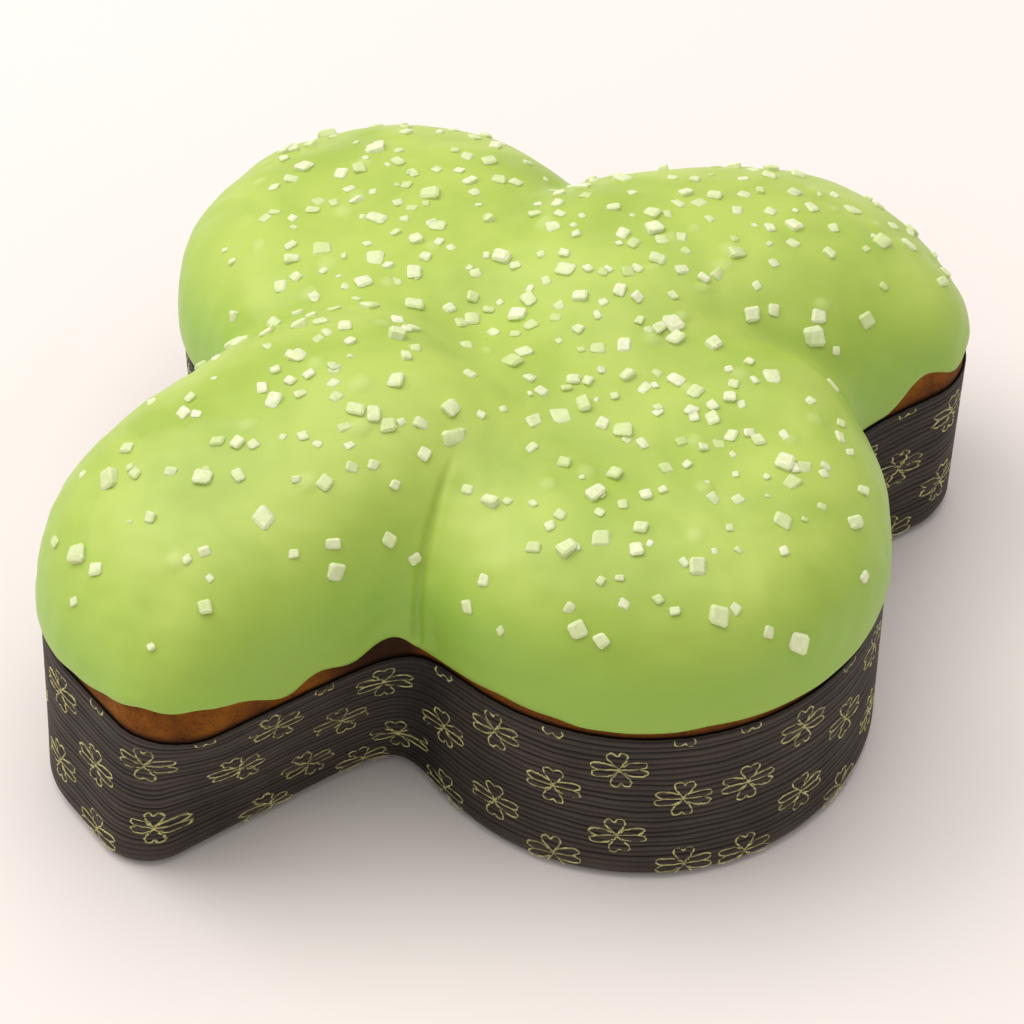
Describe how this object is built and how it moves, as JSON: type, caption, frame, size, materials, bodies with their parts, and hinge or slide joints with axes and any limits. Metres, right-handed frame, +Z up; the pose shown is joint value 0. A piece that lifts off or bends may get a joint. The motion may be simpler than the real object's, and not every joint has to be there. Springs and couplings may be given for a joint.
{
  "type": "colomba easter bread",
  "caption": "Dove-shaped colomba easter bread with pistachio green icing and pearl sugar nibs, in its brown paper baking case with a gold clover print.",
  "frame": {"origin": "middle of the underside, on the surface that the case stands on", "axes": "+X from the tail of the dove to its head, +Y to the wing away from the viewer, +Z up"},
  "size_m": [0.2879, 0.2481, 0.1157],
  "materials": {
    "paper": "matt baking paper",
    "crust": "matt browned crust",
    "icing": "satin icing"
  },
  "bodies": {
    "root": {"paper_case": "paper", "bread": "crust", "icing": "icing"}
  },
  "joints": []
}
